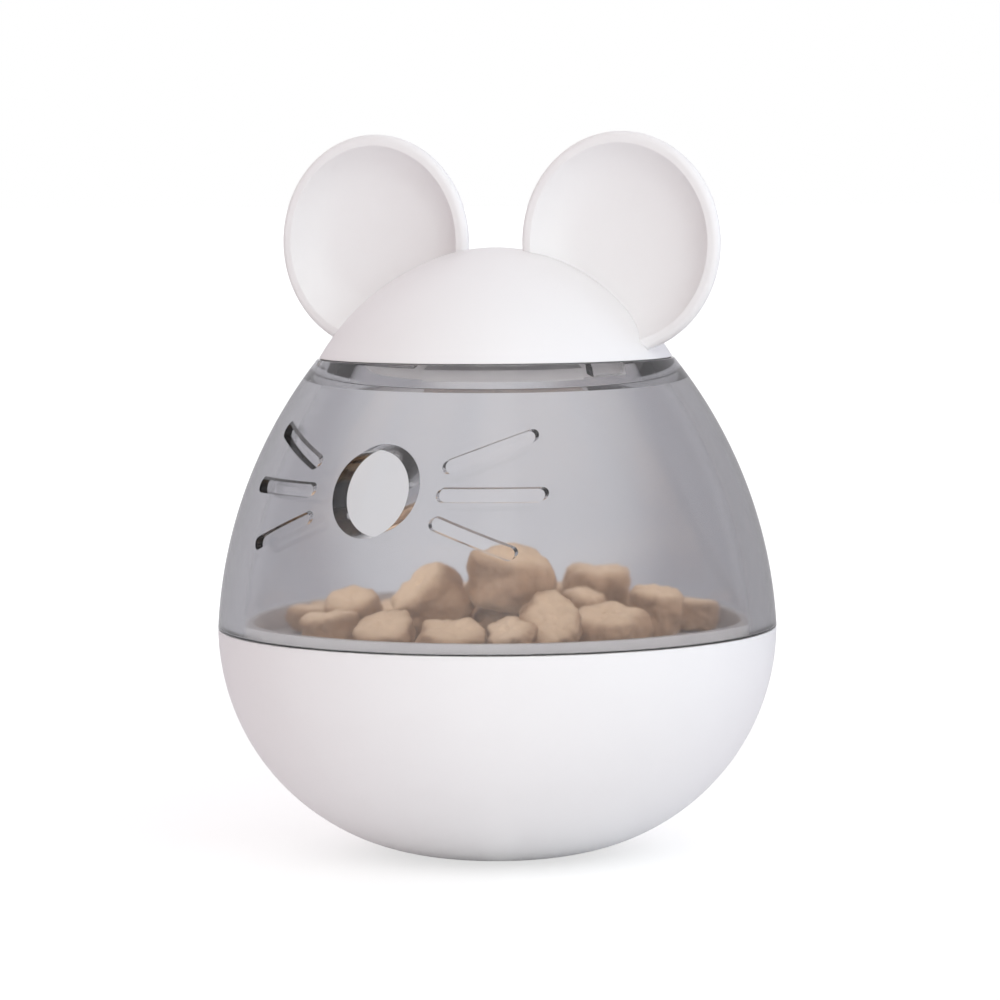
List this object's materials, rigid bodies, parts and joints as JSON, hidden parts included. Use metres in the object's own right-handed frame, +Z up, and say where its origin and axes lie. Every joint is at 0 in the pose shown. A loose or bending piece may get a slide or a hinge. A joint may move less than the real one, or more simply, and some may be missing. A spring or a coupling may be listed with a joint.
{
  "type": "cat treat dispenser toy",
  "caption": "Mouse-shaped wobbling treat dispenser with a weighted round base, a tinted shell with nose outlet and whisker grooves, and a twist-lock lid with dished ears.",
  "frame": {"origin": "centre of the flat foot under the base", "axes": "+Z up along the axis of the round body, -Y towards the nose hole, +X towards the right ear as seen from the front"},
  "size_m": [0.093, 0.093, 0.1197],
  "materials": {
    "base_white": "satin moulded white plastic",
    "lid_white": "fine satin moulded white plastic",
    "tray_white": "plain white plastic",
    "shell_tint": "clear smoke-tinted glossy plastic",
    "gasket_grey": "soft grey silicone",
    "weight_steel": "dull plated steel",
    "screw_zinc": "zinc-plated steel",
    "treat_biscuit": "dry baked biscuit"
  },
  "bodies": {
    "housing": {"base_bowl": "base_white", "counterweight": "weight_steel", "weight_screws": "screw_zinc", "floor_tray": "tray_white", "body_shell": "shell_tint", "treats": "treat_biscuit"},
    "gasket": {"lid_gasket": "gasket_grey"},
    "lid": {"lid_plug": "lid_white", "lid_dome": "lid_white", "left_ear": "lid_white", "right_ear": "lid_white"}
  },
  "joints": [
    {"name": "lid_lift", "type": "slide", "parent": "housing", "child": "gasket", "axis": [0, 0, 1], "range_m": [0, 0.04]},
    {"name": "lid_turn", "type": "hinge", "parent": "gasket", "child": "lid", "pos_m": [0, 0, 0.083], "axis": [0, 0, 1], "range_deg": [-45, 0]}
  ]
}
